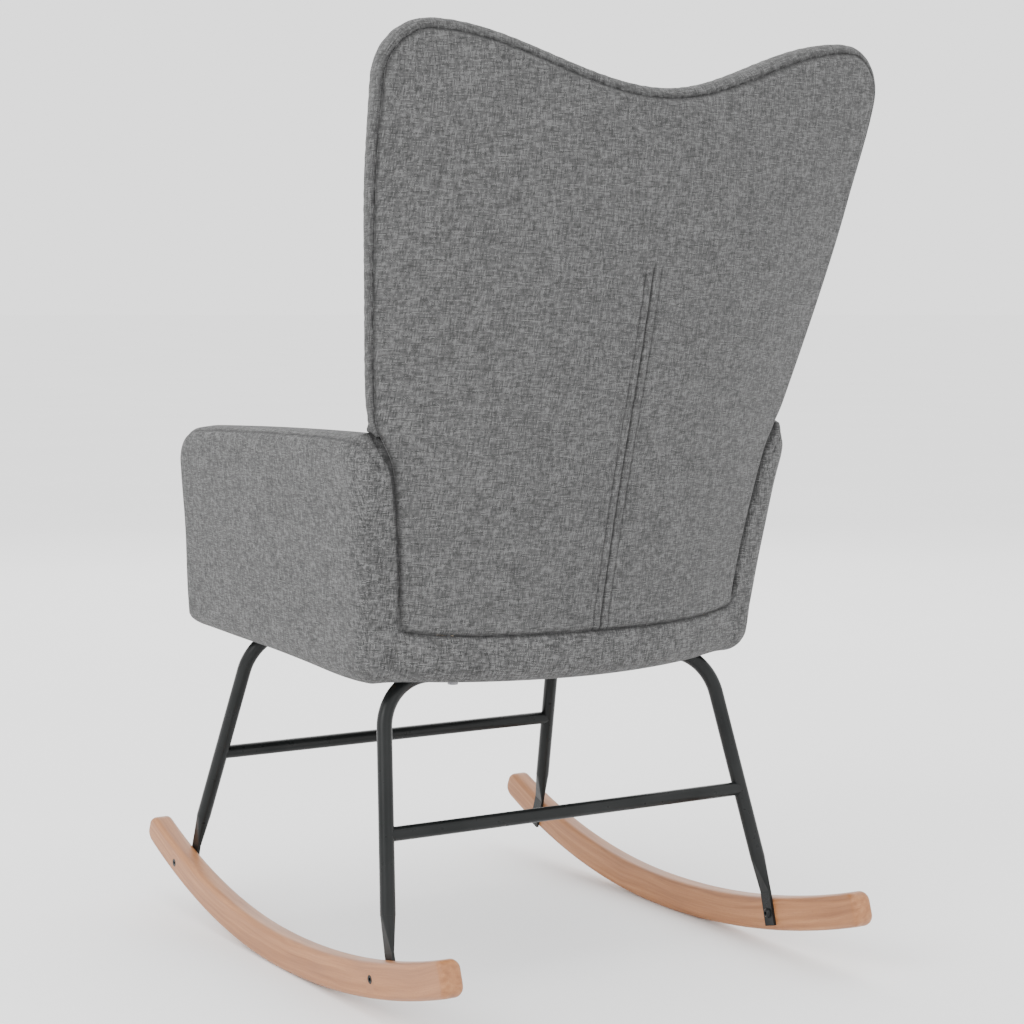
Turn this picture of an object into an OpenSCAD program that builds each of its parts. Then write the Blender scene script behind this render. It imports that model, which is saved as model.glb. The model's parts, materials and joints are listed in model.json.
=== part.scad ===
// Upholstered wing-back rocking chair on bent tube legs and solid wooden rockers.
// Frame: +Z up, -Y towards the front of the seat, +X towards the sitter's left.
// Origin: on the floor, at the middle of the chair's outline. Units: millimetres.

/* [Rockers] */
// Thickness of each rocker, across the chair
rocker_t = 24; // [20:0.5:30]
// Height of the rocker bar where it touches the floor
rocker_h = 37; // [32:0.5:42]
// Height of the bar at its front tip, as a share of the full height
rocker_front_taper = 0.88; // [0.8:0.01:1]
// Distance from the centre plane to a rocker's inner face
rocker_inner_x = 237.5; // [225:0.5:250]
// Radius of the underside, in front of the contact point
rocker_front_r = 850; // [800:10:1000]
// Radius of the underside, behind the contact point
rocker_rear_r = 1190; // [1100:10:1400]
// Where the underside touches the floor at rest
contact_y = -12; // [-30:1:10]
// Length of the underside from the contact point to the front tip
rocker_front_run = 360.5; // [330:0.5:370]
// Length of the underside from the contact point to the rear tip
rocker_rear_run = 378; // [350:0.5:400]
// Corner radius of the rocker's ends, seen from the side
rocker_corner_r = 13; // [6:0.5:16]

/* [Leg frames] */
// Outer diameter of the leg tube
leg_d = 16; // [14:0.5:20]
// Wall of the leg tube
leg_wall = 1.5; // [1:0.1:2]
// Centre-line radius of the tube's bends
bend_r = 58; // [45:1:65]
// Distance from the centre plane to the corner of the leg's centre lines
leg_top_x = 202.5; // [190:0.5:210]
// Outward splay of each leg within its frame
leg_splay = 7.1; // [4:0.1:9]
// Angle of the rear frame from the vertical
rear_leg_angle = 15.2; // [10:0.1:20]
// Angle of the front frame from the vertical
front_leg_angle = 19.9; // [14:0.1:24]
// Depth position of the rear rocker bolts
rear_bolt_y = 207.5; // [195:0.5:215]
// Height of the rear rocker bolts
rear_bolt_z = 41; // [36:0.5:46]
// Depth position of the front rocker bolts
front_bolt_y = -279; // [-290:0.5:-265]
// Height of the front rocker bolts
front_bolt_z = 59; // [54:0.5:62]
// Diameter of the crossbars
crossbar_d = 15; // [12:0.5:16]
// Height of the rear crossbar
rear_crossbar_z = 175.5; // [150:0.5:200]
// Height of the front crossbar
front_crossbar_z = 193.5; // [170:0.5:215]

/* [Seat] */
// Height of the seat frame's underside at the middle of the chair
seat_z = 342.4; // [335:0.2:350]
// Backward tilt of the seat frame
seat_tilt = 2.42; // [1:0.01:4]
// Height of the seat rails
rail_h = 45; // [40:1:50]
// Thickness of the seat rails
rail_t = 22; // [18:1:24]
// Thickness of the seat cushion
cushion_h = 74; // [60:1:90]
// Distance from the centre plane to the side of the seat cushion
cushion_half_w = 195; // [180:1:196]
// Where the seat cushion ends in front
cushion_front_y = -273; // [-280:1:-262]
// Where the seat cushion ends at the back
cushion_rear_y = 137; // [120:1:138]

/* [Arms] */
// Distance from the centre plane to the foot of an arm's outer face
arm_foot_x = 243; // [238:0.5:246]
// Outward lean of the arms
arm_lean = 5.8; // [5:0.1:7]
// Thickness of an upholstered arm
arm_t = 46; // [42:1:50]
// Edge radius of the arm's padding
arm_edge_r = 17; // [12:1:21]
// Height of the arm's top above the seat frame, at its rear end
arm_top_h = 248; // [235:1:250]
// How much lower the arm's top is at its front end
arm_top_fall = 30; // [10:1:35]
// Thickness of the plywood inside each arm
arm_panel_t = 15; // [12:1:18]

/* [Back] */
// Height of the hem along the foot of the outer back panel
hem_z = 376; // [372:1:380]
// Height of the dip in the middle of the top edge
top_dip_z = 911; // [900:1:920]
// Rise of the wing tips above the dip
wing_rise = 56; // [45:1:65]
// Greatest half width across the wings, at the seam
wing_half_w = 289; // [285:1:296]
// Thickness of the wings at their edge
wing_edge_t = 32; // [28:1:42]
// Thickness of the back at its centre line
back_centre_t = 68; // [60:1:90]
// How far the padded edge band stands out beyond the seam
band_out = 11; // [8:0.5:12]

/* [Hidden] */

wood = [0.80, 0.64, 0.50];
inner_wood = [0.84, 0.76, 0.62];
black_steel = [0.10, 0.11, 0.11];
zinc = [0.62, 0.63, 0.65];
grey_fabric = [0.46, 0.46, 0.46];
dark_grey_fabric = [0.40, 0.40, 0.40];
jute = [0.62, 0.53, 0.38];
black_cloth = [0.08, 0.08, 0.08];

round_fn = 64;
pad_fn = 24;
gap = 0.3;                    // clearance between neighbouring curved pieces

// Rocker fastenings: a cap screw from inside meets a sleeve nut from outside
strip_t = 3.2;                // flattened tube end
strip_tip = 14;               // strip beyond the bolt's centre
strip_top = 24;               // flat strip above the bolt's centre
flare_run = 36;               // length over which the tube turns flat
sleeve_d = 8.6;
sleeve_flange_d = 12;
sleeve_flange_t = 1.8;
sleeve_len = 18;
bolt_d = 6;
bolt_head_d = 11;
bolt_head_h = 3.3;
hex_key_r = 2.3;

dust_t = 1;                   // black cloth under the seat frame
web_t = 1.2;                  // webbing strap
web_w = 50;
board_t = 20;                 // boards that the leg frames are bolted to
leg_bolt_x = 120;
washer_d = 16;
washer_t = 1.2;
t_nut_d = 18;

post_d0 = 3.6;                // back frame: front and rear faces behind the panel
post_d1 = 24;
panel_t = 3;                  // outer back panel, padded fabric
foam_d0 = 26.4;               // rear face of the foam, in front of the webbing
post_s0 = 0.78;               // posts, as shares of the half width
post_s1 = 0.88;
wing_seam_s = 0.60;           // seam between the centre cushion and a wing pad
frame_foot_z = 335;
foam_foot_z = 386;
apron_foot_z = 329;
corner_r = 45;                // round corner at each wing tip
wing_top_z = top_dip_z + wing_rise;

// ---- Small helpers ------------------------------------------------------

function smooth(a, b, v) = let(u = min(1, max(0, (v - a) / (b - a)))) u * u * (3 - 2 * u);

module both_sides() {
    for (side = [0, 1]) mirror([side, 0, 0]) children();
}

// Tilted space of the seat frame, with z = 0 on its underside
module seat_space() {
    translate([0, 0, seat_z]) rotate([-seat_tilt, 0, 0]) children();
}

// Space of the left arm: x = 0 on its outer face, leaning outwards
module arm_space() {
    seat_space() translate([arm_foot_x, 0, 0]) rotate([0, arm_lean, 0]) children();
}

// ---- Rockers --------------------------------------------------------------

// A point of the side view: run along the underside, rise above it
function rocker_pt(run, rise) = run < 0
    ? [contact_y + (rocker_front_r - rise) * sin(run / rocker_front_r * 180 / PI),
       rocker_front_r - (rocker_front_r - rise) * cos(run / rocker_front_r * 180 / PI)]
    : [contact_y + (rocker_rear_r - rise) * sin(run / rocker_rear_r * 180 / PI),
       rocker_rear_r - (rocker_rear_r - rise) * cos(run / rocker_rear_r * 180 / PI)];

function rocker_height(run) = rocker_h *
    (run < 0 ? 1 - (1 - rocker_front_taper) * pow(run / rocker_front_run, 2) : 1);

// Rounded bar in run and rise, before it is bent to the rocker's curve
function rocker_corner(run, rise, from) =
    [for (a = [0:18:90]) [run + rocker_corner_r * cos(from + a), rise + rocker_corner_r * sin(from + a)]];

module rocker_side_view() {
    r = rocker_corner_r;
    f = -rocker_front_run;
    b = rocker_rear_run;
    steps = 36;
    bottom = [for (i = [1:steps - 1]) [f + r + (b - f - 2 * r) * i / steps, 0]];
    top = [for (i = [1:steps - 1]) let(run = b - r - (b - f - 2 * r) * i / steps)
        [run, rocker_height(run)]];
    outline = concat(rocker_corner(f + r, r, 180), bottom, rocker_corner(b - r, r, 270),
        rocker_corner(b - r, rocker_h - r, 0), top,
        rocker_corner(f + r, rocker_height(f) - r, 90));
    polygon([for (p = outline) rocker_pt(p[0], p[1])]);
}

module at_rocker_bolts() {
    translate([0, rear_bolt_y, rear_bolt_z]) rotate([0, 90, 0]) children();
    translate([0, front_bolt_y, front_bolt_z]) rotate([0, 90, 0]) children();
}

module rocker() {
    difference() {
        translate([rocker_inner_x, 0, 0]) rotate([90, 0, 90])
            linear_extrude(rocker_t) rocker_side_view();
        at_rocker_bolts() {
            cylinder(d = sleeve_d + 2 * gap, h = rocker_inner_x + rocker_t + 1, $fn = round_fn);
            translate([0, 0, rocker_inner_x + rocker_t - sleeve_flange_t])
                cylinder(d = sleeve_flange_d + 2 * gap, h = 2 * sleeve_flange_t, $fn = round_fn);
        }
    }
}

module rocker_left() { color(wood) rocker(); }
module rocker_right() { color(wood) mirror([1, 0, 0]) rocker(); }

module rocker_bolts() {
    color(black_steel) both_sides() at_rocker_bolts()
        translate([0, 0, rocker_inner_x - strip_t]) difference() {
            union() {
                cylinder(d = bolt_d, h = 22, $fn = round_fn);
                translate([0, 0, -bolt_head_h]) rotate_extrude($fn = round_fn)
                    polygon([[0, 0], [bolt_head_d * 0.3, 0], [bolt_head_d * 0.44, bolt_head_h * 0.35],
                        [bolt_head_d / 2, bolt_head_h * 0.8], [bolt_head_d / 2, bolt_head_h],
                        [0, bolt_head_h]]);
            }
            translate([0, 0, -bolt_head_h - 1]) cylinder(r = hex_key_r, h = 3, $fn = 6);
        }
}

module rocker_sleeve_nuts() {
    color(black_steel) both_sides() at_rocker_bolts()
        translate([0, 0, rocker_inner_x + rocker_t]) difference() {
            union() {
                translate([0, 0, -sleeve_len]) cylinder(d = sleeve_d, h = sleeve_len, $fn = round_fn);
                translate([0, 0, -sleeve_flange_t])
                    cylinder(d = sleeve_flange_d, h = sleeve_flange_t - 0.4, $fn = round_fn);
            }
            translate([0, 0, -sleeve_len - 1]) cylinder(d = bolt_d + 0.2, h = 13, $fn = round_fn);
            translate([0, 0, -4]) cylinder(r = hex_key_r, h = 5, $fn = 6);
        }
}

// ---- Leg frames -----------------------------------------------------------

leg_bend = 90 - leg_splay;                    // angle that the tube turns through
bend_run = bend_r * tan(leg_bend / 2);         // from the corner to where a bend starts
bend_lap = 1;                  // how far a straight runs into a bend
bend_swell = 0.05;             // how much fatter a bend's radius is
hair = 0.08;                   // inset that keeps two surfaces from lying in one plane
foot_overlap = 0.8;            // how far the flare reaches into the tube and the strip
bar_drop = (leg_d / 2 + dust_t) / cos(seat_tilt);

// Depth of a top bar, where the frame's plane meets the underside of the seat
function bar_y(bolt_y, bolt_z, angle) =
    let(t = tan(angle))
    (bolt_y - (seat_z - bar_drop - bolt_z) * t) / (1 - t * tan(seat_tilt));
function bar_z(y) = seat_z - bar_drop - y * tan(seat_tilt);

rear_bar_y = bar_y(rear_bolt_y, rear_bolt_z, rear_leg_angle);
front_bar_y = bar_y(front_bolt_y, front_bolt_z, -front_leg_angle);
rear_run = (bar_z(rear_bar_y) - rear_bolt_z) / cos(rear_leg_angle) / cos(leg_splay);
front_run = (bar_z(front_bar_y) - front_bolt_z) / cos(front_leg_angle) / cos(leg_splay);

// Plane of a leg frame, with its origin at the middle of the top bar
module frame_plane(bar, angle) {
    translate([0, bar, bar_z(bar)]) rotate([angle, 0, 0]) children();
}

// Down the left leg's centre line, from the corner with the top bar
module down_leg(bar, angle, run) {
    frame_plane(bar, angle) translate([leg_top_x, 0, 0]) rotate([0, 180 - leg_splay, 0])
        translate([0, 0, run]) children();
}

// The bends are a hair fatter than the straights, which run a short way into them
module u_rod(bar, angle, run, r) {
    frame_plane(bar, angle) rotate([0, 90, 0])
        cylinder(r = r, h = 2 * (leg_top_x - bend_run + bend_lap), center = true, $fn = round_fn);
    both_sides() {
        frame_plane(bar, angle) translate([leg_top_x - bend_run, 0, -bend_r]) rotate([90, 0, 0])
            rotate([0, 0, 90]) rotate_extrude(angle = -leg_bend, $fn = 180)
                translate([bend_r, 0]) circle(r = r + bend_swell, $fn = round_fn);
        down_leg(bar, angle, bend_run - bend_lap)
            cylinder(r = r, h = run - bend_run + bend_lap, $fn = round_fn);
    }
}

// Tube end pressed flat against the rocker's inner face; the flare starts and ends a hair inside
module leg_foot(bar, angle, run, bolt_y, bolt_z) {
    hull() {
        down_leg(bar, angle, run - foot_overlap) cylinder(d = leg_d - 4 * hair, h = 0.5, $fn = 32);
        foot_strip(angle, bolt_y, bolt_z, strip_top - foot_overlap - 0.2, strip_top - 0.2, hair);
    }
    foot_strip(angle, bolt_y, bolt_z, -strip_tip, strip_top, 0);
}

module foot_strip(angle, bolt_y, bolt_z, low, high, inset) {
    translate([rocker_inner_x - strip_t + inset, bolt_y, bolt_z]) rotate([angle, 0, 0])
        translate([0, inset - leg_d / 2, low])
            cube([strip_t - 2 * inset, leg_d - 2 * inset, high - low]);
}

module leg_frame(bar, angle, full_run, bolt_y, bolt_z) {
    run = full_run - strip_top - flare_run;
    difference() {
        union() {
            u_rod(bar, angle, run, leg_d / 2);
            both_sides() leg_foot(bar, angle, run, bolt_y, bolt_z);
        }
        u_rod(bar, angle, run - 1, leg_d / 2 - leg_wall);
        both_sides() {
            at_rocker_bolts() translate([0, 0, rocker_inner_x - 12])
                cylinder(d = bolt_d + 2 * gap, h = 14, $fn = round_fn);
            seat_space() translate([leg_bolt_x, bar / cos(seat_tilt), -leg_d - 3])
                cylinder(d = bolt_d + 2 * gap, h = leg_d + 6, $fn = round_fn);
        }
    }
}

module crossbar(bar, angle, z) {
    y = bar + (bar_z(bar) - z) * tan(angle);
    difference() {
        translate([0, y, z]) rotate([0, 90, 0]) difference() {
            cylinder(d = crossbar_d, h = 2 * rocker_inner_x - 20, center = true, $fn = round_fn);
            cylinder(d = crossbar_d - 2.4, h = 2 * rocker_inner_x, center = true, $fn = round_fn);
        }
        both_sides() down_leg(bar, angle, bend_run) {
            cylinder(d = leg_d, h = 260, $fn = round_fn);
            translate([-40, -20, 0]) cube([40, 40, 260]);
        }
    }
}

module rear_leg_tube() {
    color(black_steel) leg_frame(rear_bar_y, rear_leg_angle, rear_run, rear_bolt_y, rear_bolt_z);
}
module front_leg_tube() {
    color(black_steel) leg_frame(front_bar_y, -front_leg_angle, front_run, front_bolt_y, front_bolt_z);
}
module rear_crossbar() { color(black_steel) crossbar(rear_bar_y, rear_leg_angle, rear_crossbar_z); }
module front_crossbar() { color(black_steel) crossbar(front_bar_y, -front_leg_angle, front_crossbar_z); }

module at_leg_bolts(z) {
    both_sides() seat_space() for (bar = [rear_bar_y, front_bar_y])
        translate([leg_bolt_x, bar / cos(seat_tilt), z]) children();
}

module leg_bolts() {
    under_tube = -dust_t - leg_d - washer_t;
    color(zinc) at_leg_bolts(under_tube) difference() {
        union() {
            cylinder(d = bolt_d, h = 36, $fn = round_fn);
            translate([0, 0, -bolt_head_h]) cylinder(d = bolt_head_d, h = bolt_head_h, $fn = round_fn);
        }
        translate([0, 0, -bolt_head_h - 1]) cylinder(r = hex_key_r, h = 3, $fn = 6);
    }
}

module leg_bolt_washers() {
    color(zinc) at_leg_bolts(-dust_t - leg_d - washer_t) difference() {
        cylinder(d = washer_d, h = washer_t, $fn = round_fn);
        translate([0, 0, -1]) cylinder(d = bolt_d + 2 * gap, h = washer_t + 2, $fn = round_fn);
    }
}

module seat_t_nuts() {
    color(zinc) at_leg_bolts(board_t - 10) difference() {
        union() {
            cylinder(d = 8, h = 10, $fn = round_fn);
            translate([0, 0, 10]) cylinder(d = t_nut_d, h = 1.2, $fn = round_fn);
        }
        translate([0, 0, -1]) cylinder(d = bolt_d + 0.2, h = 14, $fn = round_fn);
    }
}

// ---- Seat frame -----------------------------------------------------------

rail_front_y = -247;
rail_rear_y = 156;
rail_outer = arm_t - 13;      // from the arm's outer face to the rail's outer face
rear_rail_t = 16;

// Half width between the side rails at a height above the seat frame's underside
function between_rails(z) = arm_foot_x - (rail_outer + rail_t) / cos(arm_lean) + z * tan(arm_lean);

module side_rail() {
    intersection() {
        arm_space() translate([-rail_outer - rail_t, rail_front_y, -20])
            cube([rail_t, rail_rear_y - rail_front_y, rail_h + 60]);
        seat_space() translate([0, -400, 0]) cube([400, 800, rail_h]);
    }
}

// A cross piece whose ends are bevelled to meet the leaning side rails
module cross_piece(y0, y1, z0, z1) {
    seat_space() translate([0, y1, 0]) rotate([90, 0, 0]) linear_extrude(y1 - y0)
        polygon([[-between_rails(z0), z0], [between_rails(z0), z0],
            [between_rails(z1), z1], [-between_rails(z1), z1]]);
}

module mounting_board(y0, y1) {
    difference() {
        cross_piece(y0, y1, 0, board_t);
        at_leg_bolts(-1) cylinder(d = 8.2, h = board_t + 2, $fn = round_fn);
    }
}

module seat_left_rail() { color(inner_wood) side_rail(); }
module seat_right_rail() { color(inner_wood) mirror([1, 0, 0]) side_rail(); }
module seat_front_rail() { color(inner_wood) cross_piece(rail_front_y, rail_front_y + rail_t, 0, rail_h); }
module seat_rear_rail() {
    color(inner_wood) cross_piece(rail_rear_y - rear_rail_t, rail_rear_y, board_t, rail_h);
}
module front_mounting_board() { color(inner_wood) mounting_board(front_bar_y - 35, front_bar_y + 35); }
module rear_mounting_board() { color(inner_wood) mounting_board(rail_rear_y - 62, rail_rear_y); }

module seat_corner_blocks() {
    leg = 52;
    x = between_rails(board_t);
    front = rail_front_y + rail_t;
    rear = rail_rear_y - rear_rail_t;
    color(inner_wood) both_sides() seat_space() translate([0, 0, board_t])
        linear_extrude(rail_h - board_t) {
            polygon([[x, front], [x, front + leg], [x - leg, front]]);
            polygon([[x, rear], [x - leg, rear], [x, rear - leg]]);
        }
}

module seat_webbing_long() {
    color(jute) seat_space() for (i = [-2:2])
        translate([i * 68 - web_w / 2, rail_front_y + 1, rail_h])
            cube([web_w, rail_rear_y - rail_front_y - 2, web_t]);
}

module seat_webbing_cross() {
    half = between_rails(rail_h) + rail_t - 3;
    color(jute) seat_space() for (i = [-2:2])
        translate([-half, -45 + i * 74 - web_w / 2, rail_h + web_t])
            cube([2 * half, web_w, web_t]);
}

module dust_cover() {
    half = arm_foot_x - arm_t / cos(arm_lean) - 1;
    color(black_cloth) difference() {
        seat_space() translate([-half, rail_front_y, -dust_t])
            cube([2 * half, rail_rear_y - rail_front_y, dust_t]);
        at_leg_bolts(-5) cylinder(d = 9, h = 10, $fn = round_fn);
    }
}

// ---- Back -----------------------------------------------------------------

// Depth of the outer face on the centre line, by height
function spine_y(z) = let(u = (z - 376) / 536) 225.4 + 92.9 * u + 149.4 * u * u - 125.6 * u * u * u;
// How strongly the back curves forward towards its sides, by height
function curl(z) = 12.6e-4 - 2.1e-6 * max(0, z - 585) - 1.0e-4 * smooth(820, 950, z);
function back_y(x, z) = spine_y(z) - curl(z) * x * x;
// Cosine and sine of the back's turn in plan; between the arms its thickness runs straight forward
function across(x, z) = let(m = 2 * curl(z) * x * smooth(560, 620, z)) [1, m] / sqrt(1 + m * m);

// Half width of the outer panel: narrow between the arms, wide across the wings
function low_half_w(z) = 207 + 16 * pow(max(0, z - 384) / 134, 1.5);
function wing_w(z) = wing_half_w - 41 * pow(max(0, 919 - z) / 334, 1.6);
function corner_w(z) = z < wing_top_z - corner_r ? 0
    : corner_r - sqrt(max(0, pow(corner_r, 2) - pow(z - wing_top_z + corner_r, 2)));
function panel_w(z) =
    let(v = smooth(540, 590, z)) low_half_w(z) * (1 - v) + wing_w(z) * v - corner_w(z);

// Half width of the foam and the frame, which stay between the arms lower down
function between_arms(z) = arm_foot_x - arm_t / cos(arm_lean) - 2 + (z - seat_z + 8) * tan(arm_lean);
function foam_w(z) = let(v = smooth(592, 616, z))
    min(panel_w(z), between_arms(z)) * (1 - v) + panel_w(z) * v;

function top_z(x) = top_dip_z + wing_rise * (1 - cos(180 * min(abs(x), 300) / 252)) / 2;

// A point of the back: s across from -1 to 1, t up from 0 to 1, d forward of the outer face
function back_pt(s, t, d, foot, wide) =
    let(level = foot + t * (wing_top_z - foot),
        x = s * (wide ? panel_w(level) : foam_w(level)),
        z = foot + t * (top_z(x) - foot))
    [x - d * across(x, z)[1], back_y(x, z) - d * across(x, z)[0], z];

// Depth of the front face: full at the centre, thin at the wings' edge, soft at the top
function front_d(s, t) = let(c = pow(cos(90 * min(1, abs(s))), 0.9), top = pow(t, 6))
    wing_edge_t + (back_centre_t - wing_edge_t) * c * (1 - 0.55 * top) - 3 * t;

// Closed solid between a rear grid and a front grid of points
module grid_solid(rear, front) {
    n = len(rear[0]);
    m = len(rear);
    half = n * m;
    points = concat([for (row = rear) each row], [for (row = front) each row]);
    ring = concat([for (i = [0:n - 2]) i], [for (j = [0:m - 2]) j * n + n - 1],
        [for (i = [n - 1:-1:1]) (m - 1) * n + i], [for (j = [m - 1:-1:1]) j * n]);
    rims = [for (k = [0:len(ring) - 1]) let(a = ring[k], b = ring[(k + 1) % len(ring)])
        each [[a, b + half, b], [a, a + half, b + half]]];
    faces = [for (j = [0:m - 2]) for (i = [0:n - 2])
        let(a = j * n + i, b = a + 1, c = a + n + 1, e = a + n)
        each [[a, b, c], [a, c, e], [a + half, c + half, b + half], [a + half, e + half, c + half]]];
    polyhedron(points, concat(faces, rims));
}

function span(a, b, n) = [for (i = [0:n]) a + (b - a) * i / n];

// A patch of the back of even thickness, between two depths
module back_patch(ss, ts, d0, d1, foot, wide = false) {
    grid_solid([for (t = ts) [for (s = ss) back_pt(s, t, d0, foot, wide)]],
        [for (t = ts) [for (s = ss) back_pt(s, t, d1, foot, wide)]]);
}

module back_post() {
    back_patch(span(post_s0, post_s1, 2), span(0, 0.93, 16), post_d0, post_d1, frame_foot_z);
}

module back_rail(t0, t1) {
    reach = post_s0 - 0.006;
    back_patch(span(-reach, reach, 12), span(t0, t1, 1), post_d0, post_d1, frame_foot_z);
}

module back_left_post() { color(inner_wood) back_post(); }
module back_right_post() { color(inner_wood) mirror([1, 0, 0]) back_post(); }
module back_bottom_rail() { color(inner_wood) back_rail(0, 0.065); }
module back_middle_rail() { color(inner_wood) back_rail(0.42, 0.49); }
module back_top_rail() { color(inner_wood) back_rail(0.86, 0.93); }

module back_webbing() {
    strap = 0.08;
    color(jute) for (t = [0.14, 0.28, 0.54, 0.68])
        back_patch(span(-0.86, 0.86, 12), span(t, t + strap, 2), post_d1 + 0.5,
            post_d1 + 0.5 + web_t, frame_foot_z);
}

module foam_block(ss, rear_ds) {
    ts = concat([0, 0.06, 0.13, 0.2, 0.27, 0.33], span(0.355, 0.4, 3),
        [0.47, 0.55, 0.64, 0.73, 0.81, 0.88, 0.94, 0.98, 1]);
    color(grey_fabric) grid_solid(
        [for (t = ts) [for (i = [0:len(ss) - 1]) back_pt(ss[i], t, rear_ds[i], foam_foot_z, false)]],
        [for (t = ts) [for (s = ss) back_pt(s, t, front_d(s, t), foam_foot_z, false)]]);
}

module back_cushion() {
    ss = span(-wing_seam_s, wing_seam_s, 10);
    foam_block(ss, [for (s = ss) foam_d0]);
}

module wing_pad() {
    behind = panel_t + gap;
    foam_block([wing_seam_s, 0.7, 0.8, post_s1 + 0.006, post_s1 + 0.014, 0.94, 0.98, 1],
        [foam_d0, foam_d0, foam_d0, foam_d0, behind, behind, behind, behind]);
}

module left_wing_pad() { wing_pad(); }
module right_wing_pad() { mirror([1, 0, 0]) wing_pad(); }

module outer_back_panel() {
    ts = concat(span(0, 0.25, 3), span(0.30, 0.40, 4), span(0.48, 0.88, 5), [0.93, 0.96, 0.98, 1]);
    color(dark_grey_fabric) back_patch(span(-1, 1, 18), ts, 0, panel_t, hem_z, true);
}

// Padded band round the free edge of the back, from one arm over the top to the other
module back_edge_band() {
    section = [[0, 0], [5, 1.5], [9, 6], [band_out, 14], [band_out, wing_edge_t - 14],
        [9, wing_edge_t - 6], [5, wing_edge_t - 1.5], [0, wing_edge_t]];
    start = 0.36;
    side = concat(span(start, 0.90, 10), span(0.925, 1, 6));
    across = span(1, -1, 24);
    route = concat([for (t = side) [1, t]], [for (i = [1:23]) [across[i], 1]],
        [for (i = [len(side) - 1:-1:0]) [-1, side[i]]]);
    edge = [for (q = route) back_pt(q[0], q[1], 0, hem_z, true)];
    turn = [for (e = edge) across(e[0], e[2])];
    n = len(edge);
    // Outward normal of the outline, seen from behind
    out = [for (i = [0:n - 1]) let(a = edge[max(0, i - 1)], b = edge[min(n - 1, i + 1)],
        l = norm([b[0] - a[0], b[2] - a[2]])) [(b[2] - a[2]) / l, -(b[0] - a[0]) / l]];
    rings = [for (i = [0:n - 1]) [for (p = section) edge[i] + (p[0] + gap) * [out[i][0] * turn[i][0],
        -out[i][0] * turn[i][1], out[i][1]] - p[1] * [turn[i][1], turn[i][0], 0]]];
    k = len(section);
    color(grey_fabric) polyhedron([for (r = rings) each r], concat(
        [[for (j = [k - 1:-1:0]) j]], [[for (j = [0:k - 1]) (n - 1) * k + j]],
        [for (i = [0:n - 2]) for (j = [0:k - 1]) let(a = i * k + j, b = i * k + (j + 1) % k)
            each [[a, b, b + k], [a, b + k, a + k]]]));
}

module rear_apron() {
    reach = 0.965;
    function face(d) = [for (z = [apron_foot_z, hem_z - 1]) [for (s = span(-reach, reach, 14))
        let(p = back_pt(s, 0, d, hem_z, false)) [p[0], p[1], z]]];
    color(grey_fabric) grid_solid(face(0), face(panel_t));
}

// ---- Arms -----------------------------------------------------------------

arm_panel_x = arm_t - 13 - arm_panel_t;       // from the arm's outer face to the plywood

module arm_panel() {
    top_h = 190;
    arm_space() translate([-arm_panel_x - arm_panel_t, 0, 0]) rotate([90, 0, 90])
        linear_extrude(arm_panel_t) polygon([[-255, 6], [-236, top_h - 34], [-218, top_h - 12],
            [-195, top_h], [125, top_h + 24], [140, top_h + 10], [130, 6]]);
}

arm_front = -285;              // ends of the arm's padding, along the arm
arm_rear = 167;
arm_hang = 13;                 // padding below the underside of the seat frame
arm_turn_r = 31;               // turn of the edge padding's centre line at the top front corner
arm_turn_back = 47;            // from the front end to that turn's centre
arm_rear_lean = 30;            // how much further back the top reaches than the foot

// Padded arm as one rounded slab, before the wood is cut out of it
module arm_slab() {
    r = arm_edge_r;
    arm_space() hull() for (x = [-r, -arm_t + r]) {
        outer = x == -r;
        turn_z = arm_top_h - arm_top_fall - r - arm_turn_r;
        translate([x, arm_front + r, r - arm_hang]) sphere(r, $fn = pad_fn);
        for (a = [0:30:90])
            translate([x, arm_front + r + arm_turn_back - arm_turn_r * sin(a), turn_z + arm_turn_r * cos(a)])
                sphere(r, $fn = pad_fn);
        translate([x, arm_rear - r - (outer ? 14 : 0), r - arm_hang]) sphere(r, $fn = pad_fn);
        translate([x, arm_rear - r + arm_rear_lean - (outer ? 8 : 0), arm_top_h - r])
            sphere(r, $fn = pad_fn);
    }
}

module arm_upholstery() {
    difference() {
        arm_slab();
        arm_panel();
        arm_space() translate([-rail_outer - 40, rail_front_y - 0.5, -20])
            cube([40 + gap, rail_rear_y - rail_front_y + 1, 20 + rail_h + 8]);
        // Behind the inner face of the outer back panel
        back_patch(span(0.5, 1.002, 6), span(-0.12, 0.5, 12), -90, panel_t + gap, hem_z, true);
    }
}

module left_arm_panel() { color(inner_wood) arm_panel(); }
module right_arm_panel() { color(inner_wood) mirror([1, 0, 0]) arm_panel(); }
module left_arm_upholstery() { color(grey_fabric) arm_upholstery(); }
module right_arm_upholstery() { color(grey_fabric) mirror([1, 0, 0]) arm_upholstery(); }

// ---- Seat pads ------------------------------------------------------------

module rounded_block(x, y0, y1, z0, z1, r) {
    hull() for (px = [-x + r, x - r]) for (py = [y0 + r, y1 - r]) for (pz = [z0 + r, z1 - r])
        translate([px, py, pz]) sphere(r, $fn = pad_fn);
}

module seat_cushion() {
    foot = rail_h + 2 * web_t + gap;
    color(grey_fabric) seat_space()
        rounded_block(cushion_half_w, cushion_front_y, cushion_rear_y, foot, foot + cushion_h, 18);
}

module front_apron() {
    color(grey_fabric) seat_space()
        rounded_block(between_rails(0) + rail_t - 14, rail_front_y - 15, rail_front_y - gap, -5, rail_h + 2, 6);
}

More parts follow.
